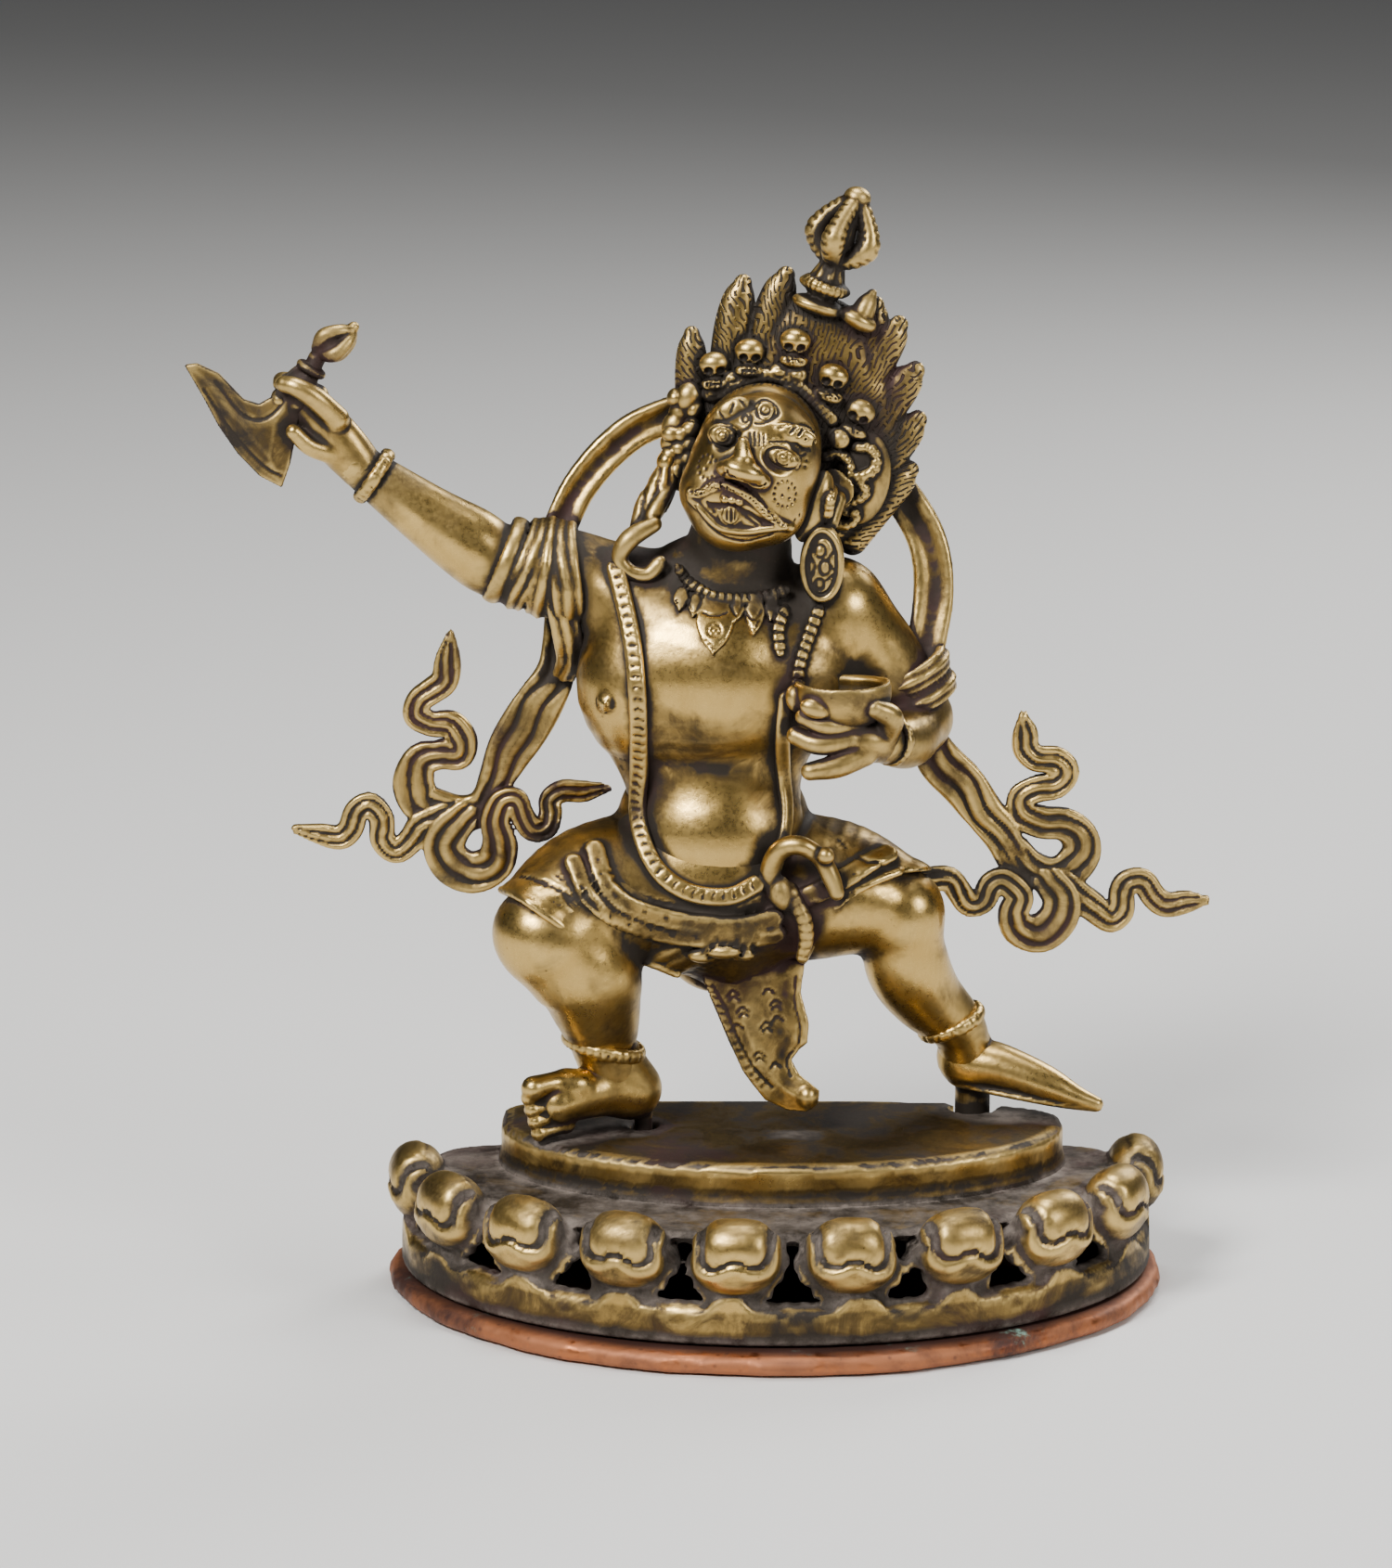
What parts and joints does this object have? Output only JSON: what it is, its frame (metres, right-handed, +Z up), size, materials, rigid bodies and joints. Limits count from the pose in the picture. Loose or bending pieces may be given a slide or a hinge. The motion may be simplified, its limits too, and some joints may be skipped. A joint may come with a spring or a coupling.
{
  "type": "wrathful deity statue",
  "caption": "Cast brass statue of a striding wrathful deity with raised flaying knife, skull cup, flying scarf and flame hair, on a pierced lotus base with a copper plate.",
  "frame": {"origin": "centre of the copper plate's underside", "axes": "+Z up, -Y towards the viewer of the picture, +X to the right of the picture"},
  "size_m": [0.2314, 0.098, 0.2536],
  "materials": {
    "brass": "rubbed high points over dark brown patina",
    "copper": "hammered copper sheet with dark and green spots"
  },
  "bodies": {
    "root": {"figure": "brass", "lotus_base": "brass", "base_plate": "copper"}
  },
  "joints": []
}
